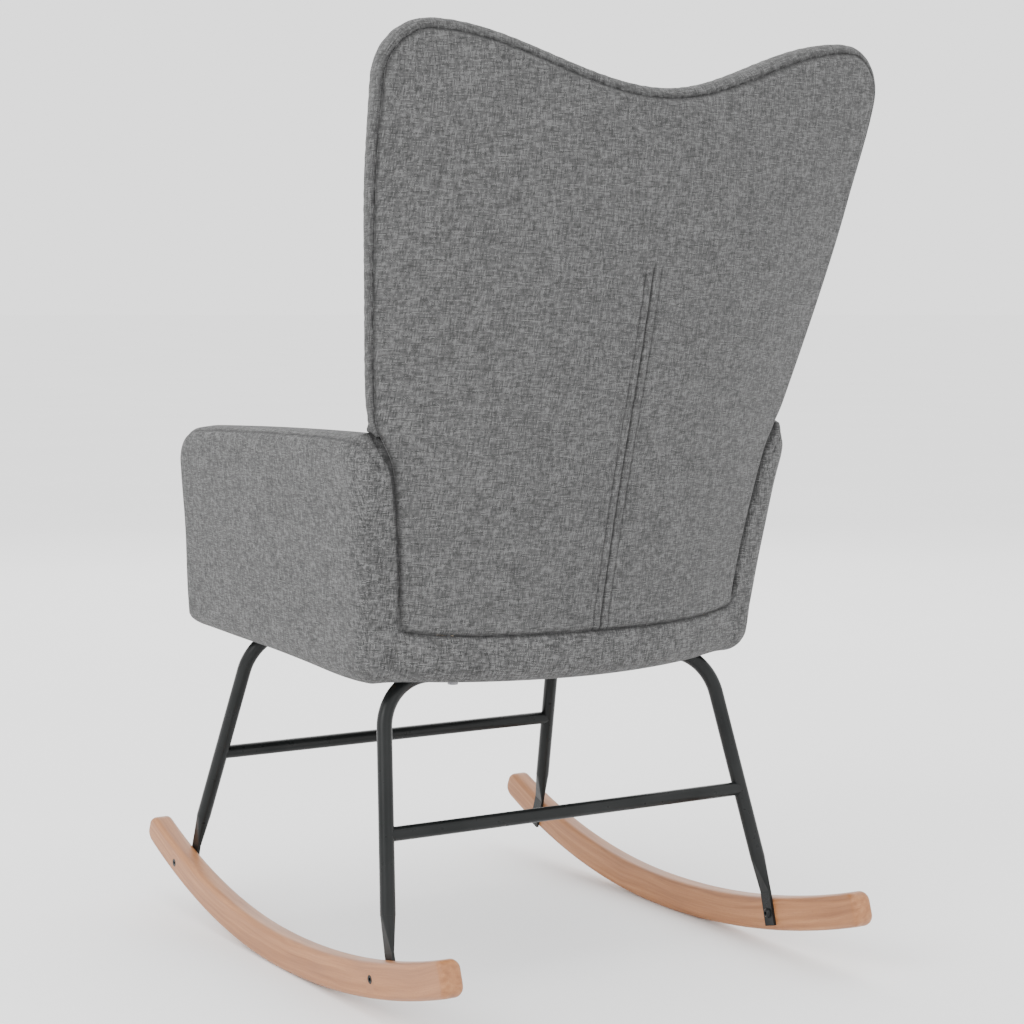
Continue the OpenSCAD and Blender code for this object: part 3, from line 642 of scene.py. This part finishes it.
def inflate(obj, voxel, cap, pressure=4.0, frames=20):
    """Puffs a pad out as cloth under air pressure, no point moving further than the cap."""
    remeshed(obj, voxel)
    start = positions(obj.data)
    modifier = obj.modifiers.new("cloth", "CLOTH")
    settings = modifier.settings
    settings.use_pressure, settings.uniform_pressure_force = True, pressure
    settings.effector_weights.gravity = 0.0
    settings.quality, settings.mass = 5, 0.3
    settings.tension_stiffness = settings.compression_stiffness = 15.0
    modifier.point_cache.frame_start, modifier.point_cache.frame_end = 1, frames
    for number in range(1, frames + 1):
        bpy.context.scene.frame_set(number)
    applied(obj)
    bpy.context.scene.frame_set(1)
    moved = positions(obj.data) - start
    far = np.linalg.norm(moved, axis=1)[:, None]
    moved *= np.minimum(1, cap / np.maximum(far, 1e-6))
    set_positions(obj.data, start + moved)
    for _ in range(2):
        relax = bmesh.new()
        relax.from_mesh(obj.data)
        bmesh.ops.smooth_vert(relax, verts=relax.verts, factor=0.5, use_axis_x=True,
                              use_axis_y=True, use_axis_z=True)
        relax.to_mesh(obj.data)
        relax.free()
    return obj


def subdivided(obj):
    modifier = obj.modifiers.new("subdivision", "SUBSURF")
    modifier.levels = modifier.render_levels = 1
    return applied(obj)


def seam_line_x(z):
    return 118 + 52 * smooth(FOAM_FOOT_Z, WING_TOP_Z, z)


def front_pad():
    """Crowned centre and two wings, sewn along two seams that pull the cloth in."""
    seam_in = np.array([0.0, 0.004, 0.008, 0.013, 0.019, 0.027, 0.037, 0.050, 0.068])
    half_s = np.concatenate([np.linspace(0, WING_SEAM_S - 0.085, 26), WING_SEAM_S - seam_in[::-1],
                             WING_SEAM_S + seam_in[1:], np.linspace(WING_SEAM_S + 0.09, 0.94, 16),
                             np.linspace(0.948, 1.0, 11)])
    rows = np.concatenate([np.linspace(0, 0.94, 190), np.linspace(0.9445, 1, 26)])
    S, T = np.meshgrid(np.concatenate([-half_s[:0:-1], half_s]), rows)
    level = FOAM_FOOT_Z + T * (WING_TOP_Z - FOAM_FOOT_Z)
    seam_at, rim_at, part = seam_line_x(level), foam_w(level), np.abs(S)
    x = np.sign(S) * np.where(part < WING_SEAM_S, part / WING_SEAM_S * seam_at,
                              seam_at + (part - WING_SEAM_S) / (1 - WING_SEAM_S) * (rim_at - seam_at))
    z = FOAM_FOOT_Z + T * (top_z(x) - FOAM_FOOT_Z)
    to_seam, to_side, to_top = np.abs(np.abs(x) - seam_at), rim_at - np.abs(x), top_z(x) - z
    to_rim = np.minimum(to_side, to_top)
    gathers = np.sin(z / 2.9 + 2.1 * np.sin(z / 37)) * bell(to_seam - 8, 7) * 0.55
    plump = np.where(part < WING_SEAM_S, 9.0 * (1 - bell(to_seam, 34)) * smooth(0, 70, to_top),
                     5.0 * (1 - bell(to_seam, 22)) * smooth(0, 26, to_side))
    lift = plump - 9.5 * bell(to_seam, 4.5) - 3.2 * bell(to_rim, 3.2) + gathers
    lift += 1.2 * ripple(x, z) * smooth(0, 30, to_rim) - 14 * smooth(26, 0, z - FOAM_FOOT_Z)
    # Painted shade and dirt along the pad's rim and its two wing seams.
    seam_shade_and_dirt = np.clip(bell(to_rim, 2.4) + bell(to_seam, 2.2), 0, 1)
    share = x / rim_at
    behind = 5.6 + (FOAM_D0 - 5.6) * (1 - smooth(0.86, 0.90, np.abs(share)))
    crown = x / (215 + 75 * smooth(420, 900, z))
    front = on_back(x, z, front_d(crown, T) + lift)
    return closed_pad("back_front_pad", front, on_back(x, z, behind), seam_shade_and_dirt)


finish_piece(front_pad(), back_cloth, ["back_cushion", "left_wing_pad", "right_wing_pad"])

# ---- Arms and the band below the back, one continuous cover -----------------------------------


def rounded(a, b, radius):
    """Both limits at once, with their shared edge rounded."""
    p, q = a + radius, b + radius
    return np.minimum(np.maximum(p, q), 0) + np.hypot(np.maximum(p, 0), np.maximum(q, 0)) - radius


ARM_FRONT, ARM_TOP, ARM_TOP_FALL = -285.0, 248.0, 30.0
REAR_SLOPE, CORNER_ROLL, BAND_FOOT_Z = 0.12, 21.0, 323.0


def arm_frame(p):
    """Across, along and up the arm, from a point's distance off the centre plane."""
    y = p[:, 1] * math.cos(TILT) - (p[:, 2] - SEAT_Z) * math.sin(TILT)
    h = p[:, 1] * math.sin(TILT) + (p[:, 2] - SEAT_Z) * math.cos(TILT)
    off = np.abs(p[:, 0]) - ARM_FOOT_X
    return off * math.cos(LEAN) - h * math.sin(LEAN), y, off * math.sin(LEAN) + h * math.cos(LEAN)


def past_panel(p):
    """How far a point of the rear face lies outside the back panel's outline."""
    x, z = np.abs(p[:, 0]), p[:, 2]
    side, below = x - panel_w(z), hem_z(np.minimum(x, 210)) - z
    return np.where((side > 0) & (below > 0), np.hypot(side, below), np.maximum(side, below))


def arm_faces(p):
    """Signed distances to the arm's faces, and the distance from its stitched line."""
    x, z = np.abs(p[:, 0]), p[:, 2]
    u, y, w = arm_frame(p)
    past = past_panel(p)
    seam_x = np.minimum(x, np.minimum(panel_w(z), 250))
    rear = (p[:, 1] - back_y(seam_x, z) + REAR_SLOPE * (x - seam_x)) / 1.1
    shoulder = 3.6 * bell(w - 222, 30) * smooth(-75, -12, rear)
    side = u + 0.9 - 0.8 * ripple(y, w * 1.4) - shoulder
    t = np.clip((y + 238) / 428, 0, 1)
    tucked = 13 * smooth(26, 2, past) * smooth(-24, -6, rear)
    top = w - (ARM_TOP - ARM_TOP_FALL * (1 - t) + 9 * t * (1 - t) + tucked) + 5 * smooth(-205, -290, y)
    front = ARM_FRONT + 16 * np.clip((w + 13) / 185, 0, 1) - y
    face = rounded(front, top, 40.0)
    below = -face - tucked - 3.4
    beside = np.maximum(past, 0) + np.maximum(-rear - 4, 0) - 11
    line = np.abs(below * beside - 45) / np.maximum(np.hypot(below, beside), 1)
    line = np.where((u > -ARM_T / 2) & (below > -2.5) & (beside > -6), line, 99.0)
    return side, rear, past, front, face, -u - ARM_T, line


def cover(p):
    """Negative inside the padded cover of the arms and the rear band."""
    x, z = np.abs(p[:, 0]), p[:, 2]
    side, rear, past, front, face, inner, line = arm_faces(p)
    sink = np.where(past < 0, 3.3, 2.9 * bell(past, 2.7) - 0.9 * bell(past - 8, 5))
    swell = 2.0 * np.sin(math.pi * np.clip((z - BAND_FOOT_Z) / (HEM_Z - BAND_FOOT_Z), 0, 1)) * (z < HEM_Z)
    wall = rounded(side, rear + sink - swell - 0.6 * ripple(p[:, 0], z * 1.7), CORNER_ROLL)
    wall += 1.1 * bell(line, 1.6)
    mixed = smooth(150, 225, x)
    floor_arm = 330.3 - 0.025 * p[:, 1] + 2 * smooth(110, 175, p[:, 1]) - 3.5 * bell(p[:, 1] - 80, 80)
    floor_band = BAND_FOOT_Z + 4 * (x / LOW_HALF_W) ** 2
    bottom = floor_band * (1 - mixed) + floor_arm * mixed - z
    slab = np.maximum(wall, inner)
    roll = 17 + 10 * smooth(-34, -8, rear)
    arm = np.maximum.reduce([rounded(slab, face, roll), rounded(slab, bottom, 23.0),
                             rounded(front, bottom, 30.0)])
    band_top = z - hem_z(np.minimum(x, LOW_HALF_W)) - 11
    band_rear = back_y(np.minimum(x, np.minimum(panel_w(z), 250)), z)
    apron = np.maximum.reduce([rounded(wall, bottom, 22.0), rounded(wall, band_top, 3.0),
                               band_rear - 28 - p[:, 1], x - 232])
    return np.minimum(arm, apron)


def arm_seam(p):
    """Distance from the arm's stitched line, fading away low down beside the back."""
    _, _, _, _, face, _, line = arm_faces(p)
    return line + 4 * smooth(-70, -130, face)


def settle_on(field, points, rounds=7, reach=5.0):
    """Moves points to where the field is zero, along its slope."""
    points = points.copy()
    h = 0.05
    for _ in range(rounds):
        value = field(points)
        slope = np.stack([(field(points + h * e) - field(points - h * e)) / (2 * h) for e in np.eye(3)], -1)
        move = value[:, None] * slope / np.maximum((slope ** 2).sum(1), 0.2)[:, None]
        far = np.linalg.norm(move, axis=1)[:, None]
        points -= move * np.minimum(1, reach / np.maximum(far, 1e-9))
    return points


def add_block(bm, corners):
    """A six-sided block from its lower four and upper four corners."""
    v = [bm.verts.new([c * MM for c in corner]) for corner in corners]
    for f in ((3, 2, 1, 0), (4, 5, 6, 7), (0, 1, 5, 4), (1, 2, 6, 5), (2, 3, 7, 6), (3, 0, 4, 7)):
        bm.faces.new([v[i] for i in f])


def refine(obj, near, rounds):
    """Splits the mesh where near says so, to hold a narrow groove."""
    for _ in range(rounds):
        bm = bmesh.new()
        bm.from_mesh(obj.data)
        bm.edges.ensure_lookup_table()
        ends = np.array([[v.index for v in e.verts] for e in bm.edges])
        flags = near(positions(obj.data))
        chosen = [e for e, (a, b) in zip(bm.edges, ends) if flags[a] and flags[b]]
        bmesh.ops.subdivide_edges(bm, edges=chosen, cuts=1, use_grid_fill=True)
        bmesh.ops.triangulate(bm, faces=[f for f in bm.faces if len(f.verts) > 4])
        bm.to_mesh(obj.data)
        bm.free()


def cover_blocks():
    """Rough blocks inside the cover: one in each arm and a curved row below the back."""
    blocks = bmesh.new()
    for side in (1, -1):
        corners = []
        for z, grow in ((330, 0), (574, 24)):
            front, rear = -276 + grow * 0.7, 176 + grow
            corners += [(side * (199 + grow), front, z), (side * (240 + grow), front, z),
                        (side * (240 + grow), rear, z), (side * (199 + grow), rear, z)]
        add_block(blocks, corners[::side])
    places = np.linspace(-225, 225, 16)
    for a, b in zip(places, places[1:]):
        low = [(a - 1, back_y(a, 340) - 24, 327), (b + 1, back_y(b, 340) - 24, 327),
               (b + 1, back_y(b, 340) - 2, 327), (a - 1, back_y(a, 340) - 2, 327)]
        add_block(blocks, low + [(x, y + 4, 382) for x, y, _ in low])
    return mesh_of("arm_and_rear_cover", blocks)


def by_rear(p, depth):
    """Whether a point lies less than the depth in front of the chair's rear face."""
    return p[:, 1] > back_y(np.minimum(np.abs(p[:, 0]), 255), p[:, 2]) - depth


def near_seams(p):
    return ((np.abs(past_panel(p) - 2.5) < 6.5) & by_rear(p, 12)) | (arm_seam(p) < 5)


def arm_and_rear_cover():
    """Both arms and the band below the back, as one wrap."""
    piece = remeshed(cover_blocks(), 3.4)
    set_positions(piece.data, settle_on(cover, positions(piece.data)))
    refine(piece, near_seams, 2)
    points = settle_on(cover, positions(piece.data), 6)
    set_positions(piece.data, points)
    weave_by_facing(piece.data)
    # Painted shade and dirt along the back panel's outline and the arm's stitched line.
    panel_line = bell(np.maximum(past_panel(points), 0), 2.2) * by_rear(points, 14)
    set_seam_shade_and_dirt(piece.data, np.clip(panel_line + 0.75 * bell(arm_seam(points), 1.1), 0, 1))
    finish_piece(piece, shell_cloth,
                 ["left_arm_upholstery", "right_arm_upholstery", "rear_apron"])


arm_and_rear_cover()

# ---- Seat cushion, the cloth under it and the front strip ------------------------------------

SEAT_FOOT, SEAT_TOP, SEAT_HALF_W, SEAT_FRONT, SEAT_REAR = 47.7, 121.7, 195.0, -273.0, 137.0


def to_seat(p):
    y = p[:, 1] * math.cos(TILT) - (p[:, 2] - SEAT_Z) * math.sin(TILT)
    h = p[:, 1] * math.sin(TILT) + (p[:, 2] - SEAT_Z) * math.cos(TILT)
    return np.stack([p[:, 0], y, h], -1)


def from_seat(p):
    y = p[:, 1] * math.cos(TILT) + p[:, 2] * math.sin(TILT)
    z = -p[:, 1] * math.sin(TILT) + p[:, 2] * math.cos(TILT) + SEAT_Z
    return np.stack([p[:, 0], y, z], -1)


def rounded_block(name, low, high, voxel, radius, crown=0.0):
    """A soft box in the seat's tilted frame, with a rounded form and a crowned top."""
    low, high = np.array(low, float), np.array(high, float)
    middle, half = (low + high) / 2, (high - low) / 2

    def field(p):
        q = to_seat(p) - middle
        dome = crown * np.cos(np.clip(q[:, 0] / half[0], -1, 1) * math.pi / 2) ** 0.6 \
            * np.cos(np.clip(q[:, 1] / half[1], -1, 1) * math.pi / 2) ** 0.6
        q[:, 2] -= np.where(q[:, 2] > 0, dome, 0)
        d = np.abs(q) - half + radius
        return np.linalg.norm(np.maximum(d, 0), axis=1) + np.minimum(d.max(1), 0) - radius

    bm = bmesh.new()
    a, b = middle - half + radius * 0.3, middle + half - radius * 0.3
    plan = ((a[0], a[1]), (b[0], a[1]), (b[0], b[1]), (a[0], b[1]))
    corners = [(x, y, z) for z in (a[2], b[2]) for x, y in plan]
    add_block(bm, from_seat(np.array(corners)).tolist())
    obj = remeshed(mesh_of(name, bm), voxel)
    set_positions(obj.data, settle_on(field, positions(obj.data)))
    return obj


def seat_cushion():
    """The loose cushion, swelled as cloth and brought to its true width and length."""
    seat = rounded_block("seat_cushion_pad", (-SEAT_HALF_W + 2, SEAT_FRONT + 2, SEAT_FOOT),
                         (SEAT_HALF_W - 2, SEAT_REAR - 2, SEAT_TOP - 12), 6.0, 15.0, 5.0)
    inflate(seat, 6.0, 14.0, 6.0)
    subdivided(seat)
    local = to_seat(positions(seat.data))
    for axis, (low, high) in enumerate(((-SEAT_HALF_W, SEAT_HALF_W), (SEAT_FRONT, SEAT_REAR))):
        span = local[:, axis].min(), local[:, axis].max()
        local[:, axis] = low + (local[:, axis] - span[0]) * (high - low) / (span[1] - span[0])
    local[:, 2] = np.maximum(local[:, 2], SEAT_FOOT)
    set_positions(seat.data, from_seat(local))
    weave_by_facing(seat.data)
    set_seam_shade_and_dirt(seat.data, np.zeros(len(local)))
    finish_piece(seat, shell_cloth, ["seat_cushion"])
    return BVHTree.FromPolygons([tuple(p) for p in local], [tuple(f.vertices) for f in seat.data.polygons])


def seat_welt(name, level, cushion):
    """A piped seam round the cushion's side, laid on its surface at one level."""
    path = []
    for turn in np.linspace(0, 2 * math.pi, 361)[:-1]:
        c, s = math.cos(turn), math.sin(turn)
        way = Vector((math.copysign(abs(c) ** 0.35, c) * SEAT_HALF_W,
                      math.copysign(abs(s) ** 0.35, s) * (SEAT_REAR - SEAT_FRONT) / 2, 0)).normalized()
        hit, _, _, _ = cushion.ray_cast(Vector((0, (SEAT_FRONT + SEAT_REAR) / 2, level)), way)
        if hit:
            path.append(tuple(hit + way * 0.4))
    finish_piece(from_patches(name, [tube(from_seat(np.array(path)), 2.2)]), shell_cloth)


def seat_deck_cloth():
    """Thin cloth stretched over the frame and its webbing, under the cushion."""
    x, y = np.meshgrid(np.linspace(-204, 204, 9), np.linspace(-261, 148, 9))
    top = from_seat(np.stack([x, y, 48.6 + 0 * x], -1).reshape(-1, 3)).reshape(9, 9, 3)
    finish_piece(closed_pad("seat_deck_cloth", top, top - (0, 0, 1.6)), back_cloth)


def front_strip():
    strip = rounded_block("front_strip", (-210, -262, -5), (210, -247.4, 47), 3.0, 6.0)
    weave_by_facing(strip.data)
    set_seam_shade_and_dirt(strip.data, np.zeros(len(strip.data.vertices)))
    finish_piece(strip, shell_cloth, ["front_apron"])


cushion_surface = seat_cushion()
seat_welt("seat_welt_upper", SEAT_TOP - 22, cushion_surface)
seat_welt("seat_welt_lower", SEAT_FOOT + 13, cushion_surface)
seat_deck_cloth()
front_strip()

# ---- Rockers ------------------------------------------------------------------------------------

ROCKER_IN, ROCKER_T, ROCKER_H, CONTACT_Y = 237.5, 24.0, 37.0, -12.0
FRONT_R, REAR_R, FRONT_RUN, REAR_RUN, FRONT_TAPER = 850.0, 1190.0, 360.5, 378.0, 0.88
BOLTS = ((207.5, 41.0), (-279.0, 59.0))


def rocker_point(at_run, rise):
    """Place in the side view: so far along the sole from the contact, and so far above it."""
    radius = np.where(at_run < 0, FRONT_R, REAR_R)
    turn = at_run / radius
    return CONTACT_Y + (radius - rise) * np.sin(turn), radius - (radius - rise) * np.cos(turn)


def rocker_grid():
    """Rings along the bar, and each point's place in its board for the grain."""
    ease_f, ease_r, edge_r, section = 15.0, 13.0, 6.5, 9
    caps_f = ease_f * (1 - np.cos(np.linspace(0, math.pi / 2, 12)))
    caps_r = ease_r * (1 - np.cos(np.linspace(0, math.pi / 2, 12)))
    bar = np.linspace(-FRONT_RUN + ease_f, REAR_RUN - ease_r, 96)[1:-1]
    stations = np.concatenate([-FRONT_RUN + caps_f, bar, (REAR_RUN - caps_r)[::-1]])
    rows = []
    for at_run in stations:
        high = ROCKER_H * (1 - (1 - FRONT_TAPER) * (min(at_run, 0) / FRONT_RUN) ** 2)
        left = min(at_run + FRONT_RUN, REAR_RUN - at_run)
        ease = ease_f if at_run < 0 else ease_r
        gap_h = ease - math.sqrt(max(0, ease ** 2 - max(0, ease - left) ** 2))
        gap_t = edge_r - math.sqrt(max(0, edge_r ** 2 - max(0, edge_r - left) ** 2))
        half_h, half_t = high / 2 - gap_h, ROCKER_T / 2 - gap_t
        r = min(edge_r, half_t, half_h)
        ring = []
        for k, (sx, sz) in enumerate(((1, -1), (1, 1), (-1, 1), (-1, -1))):
            start = -math.pi / 2 + k * math.pi / 2
            for a in np.linspace(start, start + math.pi / 2, section):
                ring.append((sx * (half_t - r) + r * math.cos(a),
                             high / 2 + sz * (half_h - r) + r * math.sin(a)))
        ring.append(ring[0])
        ring = np.array(ring)
        y, z = rocker_point(np.full(len(ring), at_run), ring[:, 1])
        rows.append((np.stack([ring[:, 0] + ROCKER_IN + ROCKER_T / 2, y, z], -1),
                     np.stack([np.full(len(ring), at_run), ring[:, 1], ring[:, 0]], -1)))
    return np.array([r[0] for r in rows]), np.array([r[1] for r in rows])


def drilled(obj, cutters):
    modifier = obj.modifiers.new("bores", "BOOLEAN")
    modifier.operation, modifier.solver, modifier.object = "DIFFERENCE", "EXACT", cutters
    applied(obj)
    bpy.data.objects.remove(cutters)


def bores(side):
    """Stepped bores for the sleeve nuts, wider at the outer face."""
    bm = bmesh.new()
    for y, z in BOLTS:
        for radius, start, end in ((4.7, ROCKER_IN - 3, ROCKER_IN + ROCKER_T + 3),
                                   (6.4, ROCKER_IN + ROCKER_T - 2.0, ROCKER_IN + ROCKER_T + 4)):
            loop = np.linspace(0, 2 * math.pi, 49)[:-1]
            circle = [((y + radius * math.cos(a)) * MM, (z + radius * math.sin(a)) * MM) for a in loop]
            ends = [[bm.verts.new((side * x * MM, *place)) for place in circle] for x in (start, end)]
            bm.faces.new(ends[0])
            bm.faces.new(ends[1][::-1])
            for i in range(len(loop)):
                j = (i + 1) % len(loop)
                bm.faces.new((ends[0][j], ends[0][i], ends[1][i], ends[1][j]))
    return mesh_of("bores", bm)


def rocker_bar(side, side_name):
    grid, grain = rocker_grid()
    grid[..., 0] *= side
    rows, cols = grid.shape[:2]
    faces = quads(rows, cols).tolist()
    faces += [list(range(cols - 1)), [(rows - 1) * cols + i for i in range(cols - 1)][::-1]]
    mesh = bpy.data.meshes.new(f"rocker_{side_name}")
    mesh.from_pydata((grid.reshape(-1, 3) * MM).tolist(), [], faces)
    other_board = np.array([0.0 if side > 0 else 900.0, 0.0, 0.0])
    mesh.attributes.new("grain", "FLOAT_VECTOR", "POINT").data.foreach_set(
        "vector", ((grain.reshape(-1, 3) + other_board) * MM).astype(np.float32).ravel())
    bm = bmesh.new()
    bm.from_mesh(mesh)
    bmesh.ops.remove_doubles(bm, verts=bm.verts, dist=0.01 * MM)
    bmesh.ops.recalc_face_normals(bm, faces=bm.faces)
    bm.to_mesh(mesh)
    bm.free()
    rocker = linked(f"rocker_bar_{side_name}", mesh)
    drilled(rocker, bores(side))
    finish_piece(rocker, wood, [f"rocker_{side_name}"], sharp=35)


rocker_bar(1, "left")
rocker_bar(-1, "right")

# ---- Floor and closing ----------------------------------------------------------------------------

floor_mesh = bpy.data.meshes.new("floor")
floor_mesh.from_pydata([(-55, -55, 0), (55, -55, 0), (55, 55, 0), (-55, 55, 0)], [], [(0, 1, 2, 3)])
floor = linked("floor", floor_mesh)
paint = Shader("floor_paint", Roughness=0.9, Specular_IOR_Level=0.0)
paint.feed("Base Color", paint.ramp(paint.noise(paint.node("TexCoord").outputs["Object"], 1.5, 2.0),
                                    [(0.3, grey(0.955)), (0.7, grey(0.975))]))
floor.data.materials.append(paint.material)

for node in frame["nodes"].values():
    node.data.shade_smooth()
    node.data.set_sharp_from_angle(angle=math.radians(32))
